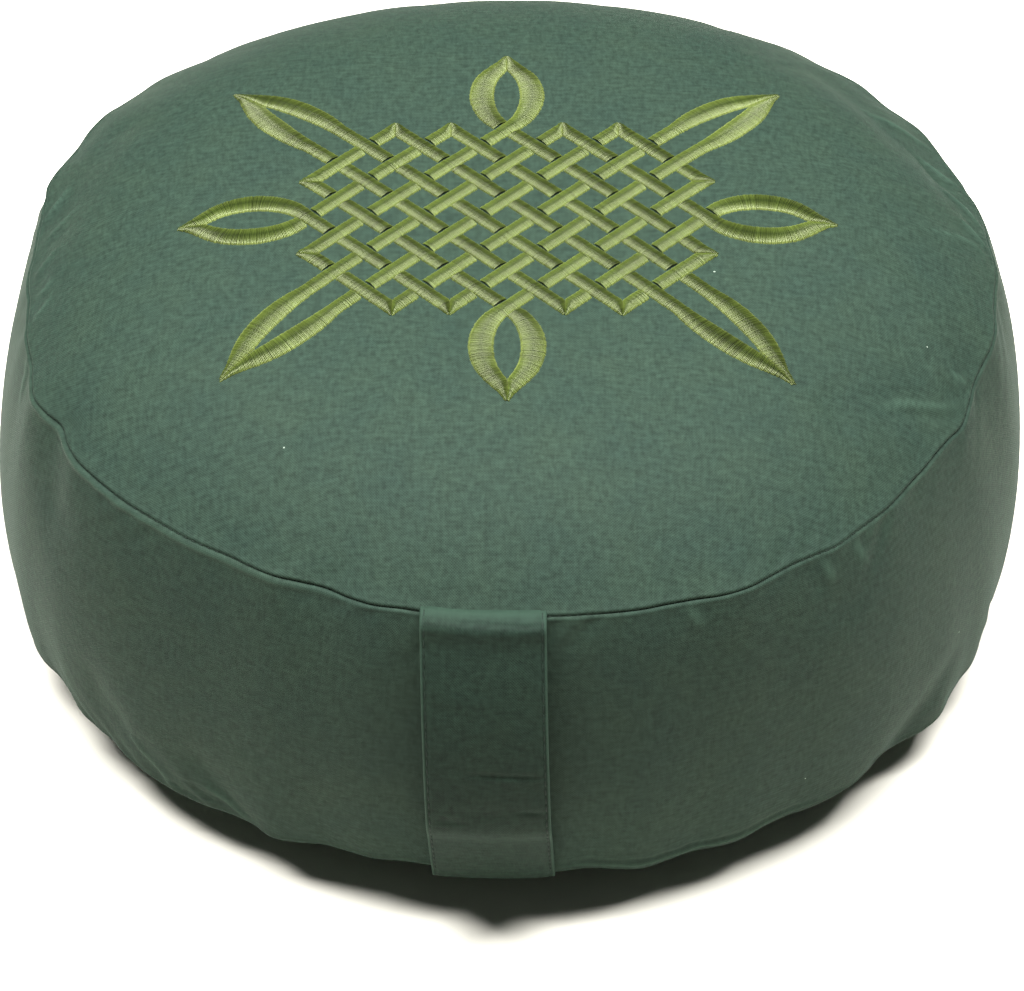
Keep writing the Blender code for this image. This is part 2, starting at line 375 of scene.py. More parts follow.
def outward(points):
    """The outward direction at each point of a laid out cover."""
    down = np.gradient(points, axis=0)
    across = (np.roll(points, -1, axis=1) - np.roll(points, 1, axis=1)) / 2
    normals = np.cross(down, across)
    normals[0] = (0.0, 0.0, 1.0)
    normals[-1] = (0.0, 0.0, -1.0)
    return normals / np.linalg.norm(normals, axis=2, keepdims=True)


# %% [markdown]
# A sheet starts as a flat grid, as cloth does. Merging the doubles where its left and
# right edges meet, and in the two middles where a whole row has shrunk to a point, makes
# it one closed skin. The strap's skin, further on, has open ends that are filled.

# %% From rows and columns to a mesh
def wrapped_mesh(name, points, weave=None):
    """A closed skin over rows of points. weave gives each corner's place in its cloth."""
    rows, columns = points.shape[:2]
    shape = bmesh.new()
    layer = shape.loops.layers.uv.new("UVMap")
    bmesh.ops.create_grid(shape, x_segments=columns, y_segments=rows - 1, size=0.5)
    grid = shape.verts.layers.int.new("grid")
    places = {}
    for vert in shape.verts:
        column = round((vert.co.x + 0.5) * columns)
        row = round((0.5 - vert.co.y) * (rows - 1))
        places[vert] = (row, column)
        vert[grid] = row * columns + column % columns
    if weave is not None:
        for face in shape.faces:
            upper = min(places[vert][0] for vert in face.verts)
            for loop in face.loops:
                row, column = places[loop.vert]
                loop[layer].uv = weave(upper, row, column)
    for vert, (row, column) in places.items():
        vert.co = points[row, column % columns]
    bmesh.ops.remove_doubles(shape, verts=shape.verts, dist=1e-7)
    bmesh.ops.dissolve_degenerate(shape, edges=shape.edges, dist=1e-8)
    open_edges = [edge for edge in shape.edges if edge.is_boundary]
    bmesh.ops.holes_fill(shape, edges=open_edges, sides=columns)
    bmesh.ops.recalc_face_normals(shape, faces=shape.faces)
    return finished(name, shape)


def grid_places(mesh):
    """For each point of a wrapped mesh, its place in the grid it came from."""
    made = np.empty(len(mesh.vertices), dtype=np.int32)
    mesh.attributes["grid"].data.foreach_get("value", made)
    return made


# %% [markdown]
# ## Inflating the cloth
# A stuffed cover is tight in the middle of its panels. Beside its seams, where the band
# is eased into the round panels, it has a little too much cloth and gathers. That could
# be pushed in by hand, but cloth finds better shapes by itself. So a coarse copy of the
# cover is inflated like a balloon, with its seams held and its cloth too long beside
# them. The solid already has the panels' even swell, so only what differs round the
# cushion is kept, and no point may move far.

# %% Inflate a coarse copy of the cover
TRIAL_COLUMNS = 240
TRIAL_FRAMES = 18
EASE = 0.07                       # how much too long the cloth is beside a seam
EASE_REACH = 11 * MM
SWELL_SHARE = 0.45                # how much of the uneven swell the cover keeps
MOST_LIFT = 0.8 * MM
TRIAL_CLOTH = {
    "quality": 6, "mass": 0.3, "tension_stiffness": 18.0, "compression_stiffness": 18.0,
    "shear_stiffness": 6.0, "bending_stiffness": 0.05, "use_pressure": True,
    "uniform_pressure_force": 4.0, "vertex_group_mass": "held",
    "vertex_group_shrink": "eased", "shrink_min": 0.0, "shrink_max": -EASE,
}


def seam_closeness(rows, reach):
    """1 for a row at a seam, and less for one further along the cloth."""
    nearest = np.min([np.abs(rows - seam) for seam in SEAM_PLACES], axis=0)
    return np.exp(-nearest / reach)


def add_group(made, name, grid, weights):
    """A vertex group that takes its weights from the grid the mesh was wrapped from."""
    group = made.vertex_groups.new(name=name)
    for index, place in enumerate(grid):
        group.add([index], float(weights[place]), "REPLACE")


def point_array(mesh):
    """A mesh's points as rows of an array."""
    values = np.empty(len(mesh.vertices) * 3, dtype=np.float32)
    mesh.vertices.foreach_get("co", values)
    return values.reshape(-1, 3).astype(float)


def inflated(start, rows):
    """How far out each grid point of a cover moves when it is inflated."""
    trial = wrapped_mesh("cloth_trial", start)
    grid = grid_places(trial.data)
    closeness = np.repeat(seam_closeness(rows, EASE_REACH), start.shape[1])
    held = (closeness > 0.99) | (start[:, :, 2].ravel() < 0.5 * MM)
    add_group(trial, "held", grid, held)
    add_group(trial, "eased", grid, closeness)
    cloth = trial.modifiers.new("inflate", "CLOTH")
    for name, value in TRIAL_CLOTH.items():
        setattr(cloth.settings, name, value)
    cloth.settings.effector_weights.gravity = 0.0
    cloth.point_cache.frame_end = TRIAL_FRAMES
    for number in range(1, TRIAL_FRAMES + 1):
        SCENE.frame_set(number)
    state = bpy.context.evaluated_depsgraph_get()
    ends = point_array(trial.evaluated_get(state).data)
    moved = np.zeros((start.shape[0] * start.shape[1], 3))
    moved[grid] = ends - point_array(trial.data)
    moved = moved.reshape(start.shape)
    for pole in (0, -1):
        moved[pole] = moved[pole].sum(axis=0)
    bpy.data.objects.remove(trial)
    SCENE.frame_set(1)
    return (moved * outward(start)).sum(axis=2)


def finer(values, rows, target_rows, count):
    """Values on a coarse grid, read on a finer one."""
    read = [np.interp(target_rows, rows, column) for column in values.T]
    return round_the_axis(np.stack(read, axis=1)[:, :, None], count)[:, :, 0]


COVER_COLUMNS = 656
COVER_STEPS = (0.38 * MM, 4.6 * MM, 1.085)     # finest, coarsest and growth
TRIAL_STEPS = (1.6 * MM, 6.0 * MM, 1.2)
points, places = lay_out(COVER_COLUMNS, *COVER_STEPS)
lift = np.zeros(points.shape[:2])
coarse, coarse_places = lay_out(TRIAL_COLUMNS, *TRIAL_STEPS)
swell = inflated(coarse, coarse_places)
print("swell before the cap, mm", swell.min() / MM, swell.mean() / MM, swell.max() / MM)
swell -= swell.mean(axis=1, keepdims=True)
print("uneven part, mm", np.abs(swell).mean() / MM, np.abs(swell).max() / MM)
swell = MOST_LIFT * np.tanh(SWELL_SHARE * swell / MOST_LIFT)
lift += finer(swell, coarse_places, places, COVER_COLUMNS)
print("cover rows and columns", points.shape[:2])

# %% [markdown]
# ## Seams, puckers and creases
# A seam in stuffed cotton is a line that is drawn in a millimetre between two soft lips,
# where the folded edges lie inside. Small puckers stand beside it in some places and not
# in others. The creases are where the cushion in the photograph has them, each one a
# ridge or a trough along a line on the cloth. They lie on a chart, the distance round
# the cushion against the distance below its top seam, which keeps the arithmetic flat.
# Where ridges and the seam's lip run is kept as well, for the painted highlight that makes them
# paler.

# %% Press in the seams and raise the puckers
GROOVE_DEPTH = 0.85 * MM
GROOVE_WIDTH = 0.45 * MM
LIP_PLACE = 1.15 * MM
LIP_WIDTH = 0.5 * MM
LIP_HEIGHT = 0.14 * MM
PUCKER_HEIGHT = 0.38 * MM
PUCKER_REACH = 9 * MM
PUCKER_START = 2 * MM
PUCKER_SLANT = 0.9
PUCKER_SIDES = ((-1, 0.55), (1, 1.0))   # puckers are lower on the round panels
CHART_RADIUS = 165 * MM
turn_of_column = np.arange(COVER_COLUMNS) * math.tau / COVER_COLUMNS


def bell_round(angle, middle, half_width):
    """1 at an angle in degrees, falling to 0 at the half width, round the cushion."""
    away = (np.degrees(angle) - middle + 180) % 360 - 180
    return np.where(np.abs(away) < half_width, np.cos(math.pi / 2 * away / half_width) ** 2, 0.0)


def uneven_waves(angle, seed):
    """Waves round the cushion that come a few together, with calm between them."""
    dice = random.Random(seed)
    waves = sum(np.sin(count * angle + dice.uniform(0, math.tau))
                for count in (47, 61, 74, 89, 103))
    calm = sum(np.sin(count * angle + dice.uniform(0, math.tau)) for count in (4, 7, 12, 19))
    return waves / 2 * np.clip(0.3 + calm / 2, 0.12, 1.2)


def seam_lift(distance, seed):
    """What one seam does to the cloth, from the distance along the cloth to it."""
    away = np.abs(distance)
    depth = 1 + 0.3 * np.sin(9 * turn_of_column + seed) + 0.5 * bell_round(turn_of_column, 258, 40)
    made = -GROOVE_DEPTH * np.exp(-(away / GROOVE_WIDTH) ** 2)[:, None] * depth
    made += LIP_HEIGHT * np.exp(-((away - LIP_PLACE) / LIP_WIDTH) ** 2)[:, None]
    for side, share in PUCKER_SIDES:
        reach = np.exp(-away / PUCKER_REACH) * (1 - np.exp(-(away / PUCKER_START) ** 2))
        on_side = (distance * side > 0) * reach * share * PUCKER_HEIGHT
        slant = turn_of_column[None, :] + (PUCKER_SLANT * distance / CHART_RADIUS)[:, None]
        made += on_side[:, None] * uneven_waves(slant, seed + side)
    return made


lift += seam_lift(places - SEAM_PLACES[0], 11)
lift += seam_lift(SEAM_PLACES[1] - places, 23)

# %% Creases in the cover
LIP_CREST = 0.45                  # how strong the painted highlight on the top seam's lip is, beside a ridge
COVER_CREASES = (
    # height, half width, then spots: degrees from the front, mm below the top seam
    (0.50, 0.9, (-77, 1.2), (-66, 1.7), (-45, 1.9), (-16, 1.9)),
    (0.60, 1.6, (-77, 1.0), (-75.5, 5), (-74, 14)),
    (0.60, 1.0, (-97.5, -5), (-99, -11), (-101, -20)),
    (-0.30, 1.6, (-95.5, -5), (-96.5, -11), (-98, -19)),
    (0.90, 1.0, (-91, -4), (-92, -8), (-94, -15)),
    (-0.45, 1.8, (-89, -4), (-90, -10)),
    (0.80, 1.0, (-102, -2), (-104, -6), (-107, -11)),
    (0.45, 1.3, (-82, -3), (-83, -7), (-84.5, -12)),
    (0.40, 1.3, (-86, -4), (-87, -9), (-88, -13)),
    (0.40, 1.2, (124, -26), (121, -17), (117, -8), (115, -2)),
    (-0.40, 1.6, (118, -22), (113, -16), (107, -11), (101, -4)),
    (0.95, 1.1, (113, -15), (110, -9), (107, -3)),
    (1.00, 1.1, (105, -16), (102, -9), (98.5, -2)),
    (-0.55, 1.3, (101, -14), (98, -7), (95.5, -2)),
    (1.05, 1.0, (98, -13), (96, -7), (94, -2)),
    (0.95, 1.0, (91.5, -30), (93, -18), (93.5, -9), (92, -3)),
    (-0.40, 1.2, (89, -26), (90.5, -16), (91, -7)),
    (-0.65, 1.3, (52, -33), (54.5, -26.5), (59.5, -19), (63, -10), (66, -3)),
    (0.45, 1.8, (56, -27), (61.5, -19), (65.5, -10), (68, -3)),
    (-0.45, 1.3, (67, -12), (68, -9), (69.5, -2)),
    (0.40, 1.3, (70, -12), (71, -3)),
    (-0.35, 1.2, (72.5, -10), (73, -3)),
    (0.55, 1.7, (37, 1.5), (37.2, 5), (38, 12)),
    (-0.50, 1.7, (35, 1.5), (35, 7), (36, 14)),
    (0.45, 1.6, (42, 1.5), (42, 6), (43, 12)),
    (0.45, 1.8, (20, 1.5), (20.5, 5), (21.5, 10)),
    (1.40, 1.5, (-46, 91), (-42, 100), (-40, 107)),
    (-1.00, 1.8, (-44, 95), (-41, 103), (-38, 107)),
    (1.10, 1.4, (-36, 96), (-32.5, 101), (-30, 106)),
    (-0.80, 1.5, (-38, 98), (-35, 104)),
    (-0.55, 0.9, (-30.5, 71), (-28.6, 69.4), (-26.5, 71.2)),
    (0.35, 1.0, (-30.3, 73), (-28.6, 71.4), (-26.5, 73.2)),
    (0.45, 0.9, (4, 105.5), (20, 105.8), (38, 105.3)),
    (-0.35, 1.2, (4, 103), (20, 103.4), (36, 103)),
)


def crease_lift(across, below, height, width, spots):
    """One crease over the chart: a bell across its line that fades at both its ends."""
    line = np.array([(math.radians(angle) * CHART_RADIUS, drop * MM) for angle, drop in spots])
    walked = walked_along(line)
    nearest = np.full(across.shape, 1.0)
    share = np.zeros(across.shape)
    half_turn = math.pi * CHART_RADIUS
    for index, start in enumerate(line[:-1]):
        step = line[index + 1] - start
        length = walked[index + 1] - walked[index]
        x = (across - start[0] + half_turn) % (2 * half_turn) - half_turn
        y = below - start[1]
        along = np.clip((x * step[0] + y * step[1]) / length ** 2, 0, 1)
        distance = np.hypot(x - along * step[0], y - along * step[1])
        closer = distance < nearest
        share = np.where(closer, (walked[index] + along * length) / walked[-1], share)
        nearest = np.where(closer, distance, nearest)
    fade = np.sqrt(np.clip(4 * share * (1 - share), 0, 1))
    return height * MM * fade * np.exp(-(nearest / (width * MM)) ** 2)


chart_across = np.repeat((turn_of_column * CHART_RADIUS)[None, :], len(places), axis=0)
chart_below = np.repeat((places - SEAM_PLACES[0])[:, None], COVER_COLUMNS, axis=1)
# crest keeps where the ridges and the top seam's lip run, for the painted highlight along them.
crest = np.zeros(points.shape[:2])
for height, width, *spots in COVER_CREASES:
    fold = crease_lift(chart_across, chart_below, height, width, spots)
    lift += fold
    if height > 0:
        crest = np.maximum(crest, fold / (height * MM))
from_lip = places - SEAM_PLACES[0] - LIP_PLACE
crest = np.maximum(crest, LIP_CREST * np.exp(-(from_lip / LIP_WIDTH) ** 2)[:, None])
points += outward(points) * lift[:, :, None]
points[:, :, 2] = np.maximum(points[:, :, 2], 0.0)
normals = outward(points)
print("lift, mm", lift.min() / MM, lift.max() / MM)

# %% The cover's own cloth coordinates
BAND_RADIUS = 170 * MM


def cloth_place(upper, row, column):
    """Where a corner lies in its panel before sewing, in metres."""
    turn = column * math.tau / COVER_COLUMNS
    if SEAM_PLACES[0] <= places[upper] + 1e-9 < SEAM_PLACES[1] - 1e-6:
        return turn * BAND_RADIUS, places[row]
    reach = places[row]
    if places[upper] > SEAM_PLACES[0]:
        reach = places[-1] - places[row]
    return reach * math.sin(turn), -reach * math.cos(turn)


# %% [markdown]
# ## Dark green cotton
# The cloth is a plain weave, matt, and dyed a dark bottle green. Up close the two sets
# of threads show, and from a step away only their thick and thin places do: faint
# streaks both ways. A bump alone would look like plastic, so the same pattern also
# lightens and darkens the colour. The strap's folds and top flap and the cover's ridges
# and seam lip are painted paler, as a painted highlight where they catch the light; on
# the strap's folded edges this is partly fading as well.

# %% Cotton material
COTTON_PITCH = 0.45 * MM
COTTON_SURFACE = {
    "Roughness": 0.72, "Specular IOR Level": 0.08, "Sheen Roughness": 0.3,
    "Sheen Tint": (0.6, 1.0, 0.75, 1.0),
}
PATCH_TINTS = ((0.3, (0.88, 0.92, 0.95)), (0.7, (1.10, 1.07, 1.02)))
WEAVE_TINTS = ((0.0, (0.86, 0.86, 0.86)), (1.0, (1.06, 1.06, 1.06)))
SLUBS_ALONG, SLUBS_ACROSS = 240.0, 680.0
LINT = (0.17, 0.21, 0.17)
FOLD_WEAR_AND_HIGHLIGHT, FOLD_PALER = 0.55, 2.3       # how strongly a folded edge is painted paler, part fading and part painted highlight, and how far
# Painted highlight on ridges and on the top seam's lip: how strongly they are painted paler, and
# how much paler.
CREST_HIGHLIGHT_STRENGTH, CREST_PALER = 0.75, 2.0
BEND_HIGHLIGHT = (
    # metres from the strap's upper end, how strongly its cloth is painted paler there: a painted
    # highlight on its flat top flap and pressed crease
    (0.0, (0.25, 0.25, 0.25)), (0.0045, (0.60, 0.60, 0.60)), (0.0075, (0.0, 0.0, 0.0)),
)


def slubs(tree, cloth, along, across):
    """Thick and thin places in one set of threads, longer along them than across."""
    stretch = add(tree, "ShaderNodeMapping", {"Scale": (along, across, 1.0)})
    join(tree, cloth, "UV", stretch, "Vector")
    made = add(tree, "ShaderNodeTexNoise", {"Scale": 1.0, "Detail": 3.0, "Roughness": 0.6})
    join(tree, stretch, "Vector", made, "Vector")
    return made


def plain_weave(tree, cloth):
    """The over and under of the threads, from -1 to 1."""
    split = add(tree, "ShaderNodeSeparateXYZ")
    join(tree, cloth, "UV", split, "Vector")
    waves = []
    for axis in ("X", "Y"):
        turn = calculate(tree, "MULTIPLY", (split, axis), math.pi / COTTON_PITCH)
        waves.append(calculate(tree, "SINE", (turn, "Value")))
    return calculate(tree, "MULTIPLY", (waves[0], "Value"), (waves[1], "Value")), split


def lint(tree, cloth):
    """1 on a few small specks of lint, and 0 elsewhere."""
    cells = add(tree, "ShaderNodeTexVoronoi", {"Scale": 65.0})
    join(tree, cloth, "UV", cells, "Vector")
    near = calculate(tree, "LESS_THAN", (cells, "Distance"), 0.021)
    kept = calculate(tree, "GREATER_THAN", (cells, "Color"), 0.66)
    return calculate(tree, "MULTIPLY", (near, "Value"), (kept, "Value"))


def paler(tree, cloth, amount, base, times):
    """A colour that goes over to a paler base by an amount."""
    highlighted = tuple(value * times for value in base)
    return mix(tree, "MIX", (amount, "Value"), (cloth, "Result"), (*highlighted, 1.0))


def cotton(name, base, streak, sheen, fold_wear_and_highlight_from=None):
    """Plain-woven cotton. Past fold_wear_and_highlight_from from a strip's middle its folded edge
    is painted paler, part fading and part painted highlight, and its top flap gets a painted
    highlight.
    """
    material, tree, shader = new_material(name, {**COTTON_SURFACE, "Sheen Weight": sheen})
    cloth = add(tree, "ShaderNodeUVMap", uv_map="UVMap")
    weave, split = plain_weave(tree, cloth)
    warp = slubs(tree, cloth, SLUBS_ALONG, SLUBS_ACROSS)
    weft = slubs(tree, cloth, SLUBS_ACROSS, SLUBS_ALONG)
    both = calculate(tree, "ADD", (warp, "Fac"), (weft, "Fac"))
    clouds = add(tree, "ShaderNodeTexNoise", {"Scale": 34.0, "Detail": 5.0, "Roughness": 0.7})
    join(tree, cloth, "UV", clouds, "Vector")
    light, dark = (tuple(value * (1.0 + sign * streak) for value in base) for sign in (1, -1))
    middle = calculate(tree, "MULTIPLY", (both, "Value"), 0.5)
    threads = ramp(tree, middle, "Value", ((0.36, dark), (0.64, light)))
    patches = ramp(tree, clouds, "Fac", PATCH_TINTS)
    coloured = mix(tree, "MULTIPLY", 1.0, (threads, "Color"), (patches, "Color"))
    shade = ramp(tree, calculate(tree, "ADD", (weave, "Value"), 0.5), "Value", WEAVE_TINTS)
    woven = mix(tree, "MULTIPLY", 1.0, (coloured, "Result"), (shade, "Color"))
    # The strap's folded edges are painted paler, part fading and part painted highlight, and its
    # flat top flap gets a painted highlight.
    if fold_wear_and_highlight_from is not None:
        aside = calculate(tree, "ABSOLUTE", (split, "X"))
        folded = calculate(tree, "GREATER_THAN", (aside, "Value"), fold_wear_and_highlight_from)
        edge = calculate(tree, "MULTIPLY", (folded, "Value"), FOLD_WEAR_AND_HIGHLIGHT)
        bend = ramp(tree, split, "Y", BEND_HIGHLIGHT)
        part = calculate(tree, "MAXIMUM", (edge, "Value"), (bend, "Color"))
        woven = paler(tree, woven, part, base, FOLD_PALER)
    # Painted highlight: ridges and the top seam's lip are painted paler where they catch the light.
    crest = add(tree, "ShaderNodeAttribute", attribute_name="crest")
    ridge_highlight = calculate(tree, "MULTIPLY", (crest, "Fac"), CREST_HIGHLIGHT_STRENGTH)
    woven = paler(tree, woven, ridge_highlight, base, CREST_PALER)
    specked = mix(tree, "MIX", (lint(tree, cloth), "Value"), (woven, "Result"), (*LINT, 1.0))
    join(tree, specked, "Result", shader, "Base Color")
    height = calculate(tree, "MULTIPLY", (weave, "Value"), 0.35)
    height = calculate(tree, "ADD", (height, "Value"), (both, "Value"))
    bump = add(tree, "ShaderNodeBump", {"Strength": 0.6, "Distance": 0.16 * MM})
    join(tree, height, "Value", bump, "Height")
    join(tree, bump, "Normal", shader, "Normal")
    return material


COVER_GREEN = (0.0152, 0.0281, 0.0198)
cover_cotton = cotton("cover_cotton", COVER_GREEN, 0.29, 0.04)

# %% Make the cover
cover = wrapped_mesh("cover", points, cloth_place)
cover.data.materials.append(cover_cotton)
# How strongly each point of the cover gets the painted highlight of a ridge or of the seam's lip.
highlighted = (crest ** 2).ravel()[grid_places(cover.data)]
cover_crest = cover.data.attributes.new("crest", "FLOAT", "POINT")
cover_crest.data.foreach_set("value", highlighted.astype(np.float32))
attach(cover, "root")
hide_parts("cushion")
print("cover faces", len(cover.data.polygons))

# %% [markdown]
# ## The carry strap
# The strap is a strip of the same cotton, folded lengthwise so that both raw edges are
# inside, and topstitched beside its two folds. It leaves the top seam lying flat, turns
# down over a pressed crease, stands clear of the belly so that fingers fit behind it,
# and comes back in over the lower seam, where it ends just off the cloth. A flat grid
# with a Solidify modifier would give it square edges, so a grid is wrapped into a flat
# tube instead, with round folds at both sides and a slight dip along each stitch line.

# %% The strap's run
STRAP_WIDTH = 39.5 * MM
STRAP_HALF_THICKNESS = 0.85 * MM
STRAP_FOLD = 1.1 * MM             # how far in from its edges the strap begins to round off
STRAP_LEAN = (-2.7, -1.5)         # degrees from the front, at the top seam and at the lower
STRAP_STEP = 0.6 * MM
STRAP_RUN = MM * np.array((
    # distance from the axis and height, in millimetres
    (157.6, 123.6), (160.2, 124.6), (163.2, 124.3), (165.5, 123.4), (166.4, 122.3),
    (166.8, 120.8), (167.4, 118.6), (169.4, 113.8), (172.4, 107.2), (177.4, 92.0),
    (180.6, 76.0), (182.0, 61.0), (181.4, 50.5), (178.6, 45.0), (175.0, 35.0),
    (171.4, 26.0), (167.4, 17.4),
))


def evenly(line, count):
    """count points the same distance apart along a line, and how far along they are."""
    walked = walked_along(line)
    even = np.linspace(0.0, walked[-1], count)
    return np.stack([np.interp(even, walked, line[:, axis]) for axis in (0, 1)], axis=1), even


def even_stations(run, step):
    """Points a step apart on a smooth curve through a run, and their normals."""
    count = round(walked_along(run)[-1] / step)
    smooth = along_a_stretch(run, np.linspace(0.0, 1.0, count * 8 + 1))
    line, even = evenly(smooth, count + 1)
    ahead = np.gradient(line, axis=0)
    ahead /= np.linalg.norm(ahead, axis=1, keepdims=True)
    return line, np.stack((-ahead[:, 1], ahead[:, 0]), axis=1), even


strap_line, strap_normals, strap_places = even_stations(STRAP_RUN, STRAP_STEP)
STRAP_LENGTH = float(strap_places[-1])
print("strap length, mm", round(STRAP_LENGTH / MM, 1))

# %% The strap's section and creases
STITCH_LINE = STRAP_WIDTH / 2 - 1.4 * MM
STITCH_DIP, STITCH_DIP_WIDTH = 0.32 * MM, 0.5 * MM
STRAP_ROUND = 84                  # points round the section
STRAP_SPREAD = 0.55               # below 1, so that they crowd together at its folds
STRAP_WAVES = ((0.35 * MM, 60, 45, 3.0), (0.20 * MM, 160, 140, 8.0))
STRAP_CREASES = MM * np.array((
    # place along the strap, from and to across it, depth, width, in millimetres
    (59, -6, 18, 0.45, 1.0),
    (73.5, 8, 19, 0.45, 1.0),
    (79, -18, -6, 0.35, 1.4),
    (37, -17, -4, 0.20, 2.0),
    (7.3, -12, 21, 0.45, 0.7),
))
CREASE_SLOPE = 0.04
CREASE_FADE = 5 * MM


def dip(distance, width):
    """1 in the middle of a soft groove, and 0 well outside it."""
    return math.exp(-(distance / width) ** 2)


def strap_half_thickness(across):
    """Half the strap's thickness: round at its folds, pulled in by its stitches."""
    past = max(0.0, abs(across) - (STRAP_WIDTH / 2 - STRAP_FOLD))
    thick = STRAP_HALF_THICKNESS * math.sqrt(max(0.0, 1 - (past / STRAP_FOLD) ** 2))
    return thick - STITCH_DIP * dip(abs(across) - STITCH_LINE, STITCH_DIP_WIDTH)


def strap_lift(place, across):
    """How far the strap's cloth is pushed out of its smooth run."""
    lift = sum(height * noise(Vector((across * wide, place * long, seed)))
               for height, wide, long, seed in STRAP_WAVES)
    for middle, start, end, depth, width in STRAP_CREASES:
        fade = min(across - start, end - across) / CREASE_FADE
        if fade > 0:
            lift -= depth * min(1.0, fade) * dip(place - middle - CREASE_SLOPE * across, width)
    return lift


def strap_point(place, across, side):
    """A point of the strap. side is 1 on its outer face, 0 in its middle and -1 behind."""
    station = place / STRAP_LENGTH * (len(strap_line) - 1)
    low = min(int(station), len(strap_line) - 2)
    share = station - low
    distance, height = strap_line[low] * (1 - share) + strap_line[low + 1] * share
    out, up = strap_normals[low] * (1 - share) + strap_normals[low + 1] * share
    depth = side * strap_half_thickness(across) + strap_lift(place, across)
    lean = STRAP_LEAN[0] + (STRAP_LEAN[1] - STRAP_LEAN[0]) * place / STRAP_LENGTH
    turn = math.radians(lean) + across / distance
    radius = distance + out * depth
    return Vector((radius * math.sin(turn), -radius * math.cos(turn), height + up * depth))


# %% Make the strap
def strap_corner(share):
    """Across and side of a point round the strap's section, for a share of a whole turn."""
    swing = math.cos(share * math.tau)
    across = STRAP_WIDTH / 2 * math.copysign(abs(swing) ** STRAP_SPREAD, swing)
    return across, (1 if share < 0.5 else -1)


def strap_skin():
    """Rows of points along the strap, each row once round its section."""
    steps = len(strap_line) - 1
    rows = []
    for step in range(steps + 1):
        row = []
        for index in range(STRAP_ROUND):
            across, side = strap_corner(index / STRAP_ROUND)
            if index % (STRAP_ROUND // 2) == 0:
                side = 0
            row.append(strap_point(step / steps * STRAP_LENGTH, across, side))
        rows.append(row)
    return np.array(rows)


def strap_weave(upper, row, column):
    """Where a corner lies in the strap's cloth, in metres."""
    across, side = strap_corner(column / STRAP_ROUND)
    return across * side, row / (len(strap_line) - 1) * STRAP_LENGTH


# Darker than the cover's cotton: painted shade for the strap's upright face.
SHADED_STRAP_GREEN = (0.0094, 0.0186, 0.0127)
strap_cotton = cotton("strap_cotton", SHADED_STRAP_GREEN, 0.34, 0.03, fold_wear_and_highlight_from=19.0 * MM)
strap = wrapped_mesh("carry_strap", strap_skin(), strap_weave)
strap.data.materials.append(strap_cotton)
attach(strap, "root")
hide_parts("strap")
print("strap faces", len(strap.data.polygons))

# %% [markdown]
# ## Sewing thread
# Lockstitches show as short dashes that sink a little between their holes. Each stitch
# is a small egg-shaped bead, longer than it is wide, and one mesh holds the whole line.
# The strap has a line of them beside each fold. In the seams of the cover the thread
# only shows where the filling pulls the panels apart, so those stitches lie deep in the
# groove.

# %% Stitches
def add_stitch(shape, start, end, up, thick, raised):
    """One bead of thread in a mesh, from start to end, with its back towards up."""
    along = (end - start).normalized()
    side = up.cross(along).normalized()
    turn = Matrix((along, side, along.cross(side))).transposed().to_4x4()
    middle = (start + end) / 2 + up.normalized() * raised
    half = (end - start).length / 2
    bmesh.ops.create_uvsphere(
        shape, u_segments=6, v_segments=5, radius=1.0,
        matrix=Matrix.Translation(middle) @ turn @ Matrix.Diagonal((half, thick, thick * 0.8, 1.0))
        @ Matrix.Rotation(math.pi / 2, 4, "Y"),
    )


def thread_material(name, dark, light):
    """Spun sewing thread: a fine twist, dull, and a little uneven in colour."""
    material, tree, shader = new_material(
        name, {"Roughness": 0.6, "Specular IOR Level": 0.1}
    )
    place = add(tree, "ShaderNodeTexCoord")
    twist = add(tree, "ShaderNodeTexNoise", {"Scale": 2600.0, "Detail": 2.0})
    join(tree, place, "Object", twist, "Vector")
    join(tree, ramp(tree, twist, "Fac", ((0.35, dark), (0.65, light))), "Color",
         shader, "Base Color")
    bump = add(tree, "ShaderNodeBump", {"Strength": 0.5, "Distance": 0.05 * MM})
    join(tree, twist, "Fac", bump, "Height")
    join(tree, bump, "Normal", shader, "Normal")
    return material


def finished_stitches(name, shape):
    made = finished(name, shape)
    made.data.materials.append(sewing_thread)
    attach(made, "root")
    return made


sewing_thread = thread_material("sewing_thread", (0.006, 0.011, 0.008), (0.013, 0.022, 0.016))

# %% Topstitching on the strap
STITCH_LENGTH = 2.7 * MM
STITCH_GAP = 0.7 * MM
STITCH_THICK = 0.24 * MM
STITCH_START = 3 * MM


def topstitch():
    shape = bmesh.new()
    pitch = STITCH_LENGTH + STITCH_GAP
    count = int((STRAP_LENGTH - 2 * STITCH_START) / pitch)
    for across in (-STITCH_LINE, STITCH_LINE):
        for side in (1, -1):
            for index in range(count):
                place = STITCH_START + index * pitch
                start = strap_point(place, across, side)
                end = strap_point(place + STITCH_LENGTH, across, side)
                up = start - strap_point(place, across, 0)
                add_stitch(shape, start, end, up, STITCH_THICK, STITCH_THICK * 0.4)
    return finished_stitches("strap_topstitch", shape)


strap_topstitch = topstitch()
print("topstitch faces", len(strap_topstitch.data.polygons))

# %% Stitches in the two seams
SEAM_PITCH = 3.0 * MM
SEAM_STITCH = (0.08, 0.62)        # from and to where a stitch shows, as shares of its pitch
SEAM_STITCH_THICK = 0.22 * MM
SEAM_STITCH_RAISED = 0.12 * MM


def on_ring(ring, column):
    """A place between two columns of a ring of points."""
    low = int(column)
    share = column - low
    return Vector(ring[low % COVER_COLUMNS] * (1 - share) + ring[(low + 1) % COVER_COLUMNS] * share)


